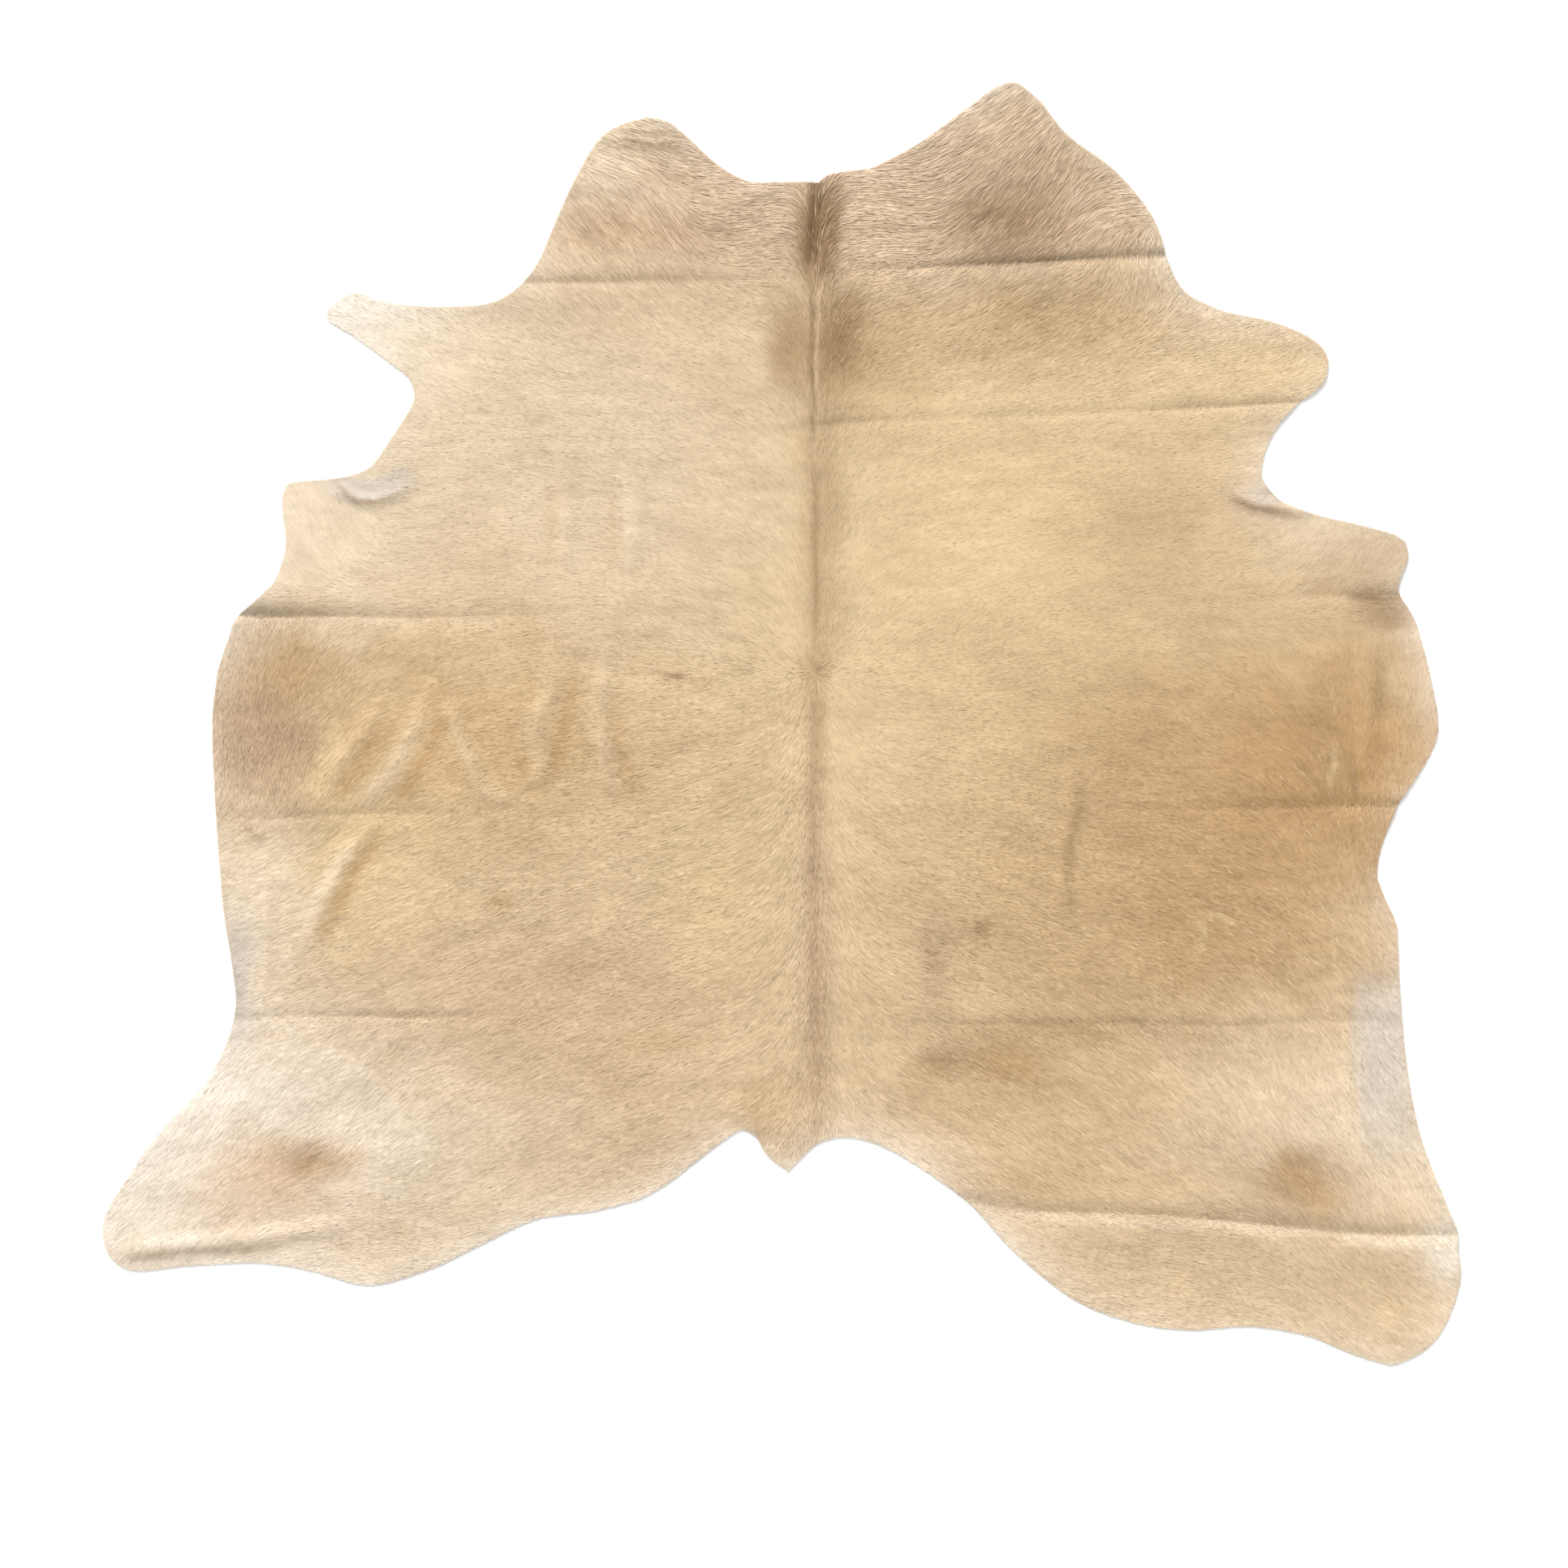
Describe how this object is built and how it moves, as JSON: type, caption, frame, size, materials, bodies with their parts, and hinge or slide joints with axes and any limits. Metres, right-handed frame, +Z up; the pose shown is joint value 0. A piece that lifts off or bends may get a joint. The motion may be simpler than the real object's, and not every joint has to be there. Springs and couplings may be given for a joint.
{
  "type": "cowhide rug",
  "caption": "Whole natural cowhide rug with short sandy hair, lying flat hair side up with its packed fold lines.",
  "frame": {"origin": "the middle of the hide's width and length, on the floor", "axes": "+X across the body to the right, +Y along the spine towards the neck, +Z up out of the hair side"},
  "size_m": [2.195, 2.071, 0.0142],
  "materials": {
    "hair": "soft short sandy beige hair lying flat, paler at the legs and belly edges, on a buff suede skin"
  },
  "bodies": {
    "root": {"hide": "hair"}
  },
  "joints": []
}
